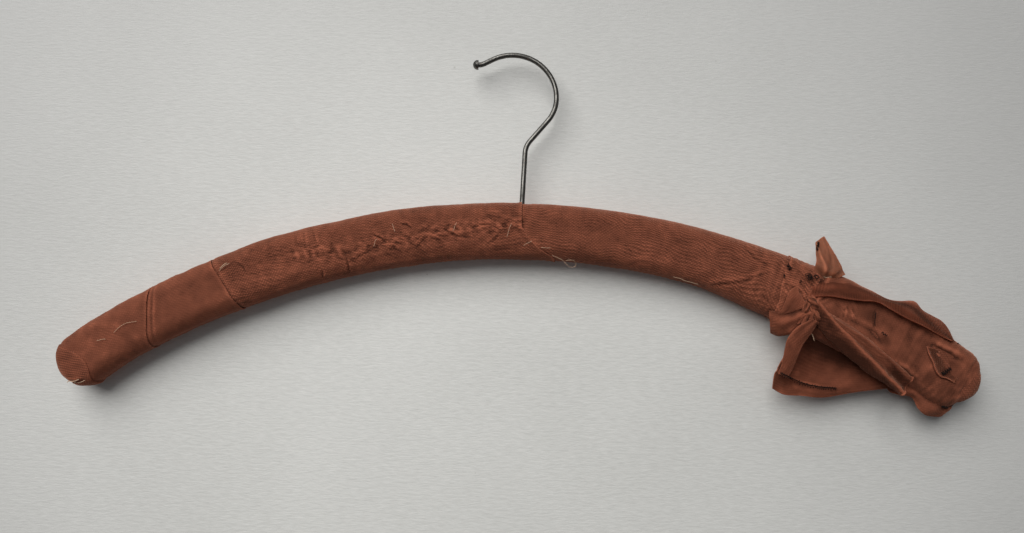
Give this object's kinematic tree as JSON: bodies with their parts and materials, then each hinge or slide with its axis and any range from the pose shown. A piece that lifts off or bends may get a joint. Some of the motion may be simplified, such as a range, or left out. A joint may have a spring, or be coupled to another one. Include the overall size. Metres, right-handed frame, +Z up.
{
  "type": "clothes hanger",
  "caption": "Curved wooden coat hanger wrapped in knitted stocking scraps tied at one end, with a swivelling wire hook ending in a small button.",
  "frame": {"origin": "rail seat: the point on the inside of the hook's bowl that rests on top of a rail", "axes": "+Z up along the swivel axis, +X along the bow towards the tied end, -Y the front face, +Y the flat back"},
  "size_m": [0.4368, 0.0266, 0.174],
  "materials": {
    "hook_steel": "drawn steel wire, dull with dark oxide",
    "washer_steel": "plain pressed steel, dull",
    "bow_wood": "turned beech, oiled by age",
    "stocking_lining": "fine nylon knit, wound tight",
    "stocking_knit": "fine nylon stocking knit, matt with a faint sheen",
    "stocking_tie": "sheer nylon stocking, gathered",
    "dark_overlock_thread": "near-black overlock thread",
    "pale_thread": "pale cotton sewing thread"
  },
  "bodies": {
    "bow": {"wood_bow": "bow_wood", "hook_washer": "washer_steel", "stocking_lining": "stocking_lining", "left_end_patch": "stocking_knit", "left_end_wrap": "stocking_knit", "left_shoulder_wrap": "stocking_knit", "centre_left_sleeve": "stocking_knit", "centre_right_sleeve": "stocking_knit", "right_under_cover": "stocking_knit", "binding_strip": "stocking_tie", "right_end_cover": "stocking_knit", "tie_knot": "stocking_tie", "upper_tie_tail": "stocking_tie", "hanging_strip": "stocking_tie", "lower_tie_tail": "stocking_tie", "long_tie_tail": "stocking_tie", "end_pocket_flap": "stocking_knit", "hem_stitches": "dark_overlock_thread", "bar_seam_stitches": "dark_overlock_thread", "upper_tail_stitches": "dark_overlock_thread", "cover_stitches": "dark_overlock_thread", "left_end_stitches": "pale_thread", "left_tack_stitch": "pale_thread", "loose_threads": "pale_thread"},
    "hook": {"hook_wire": "hook_steel"}
  },
  "joints": [
    {"name": "hook_swivel", "type": "hinge", "parent": "bow", "child": "hook", "pos_m": [0.00588, 0, -0.08619], "axis": [0, 0, 1], "continuous": true}
  ]
}
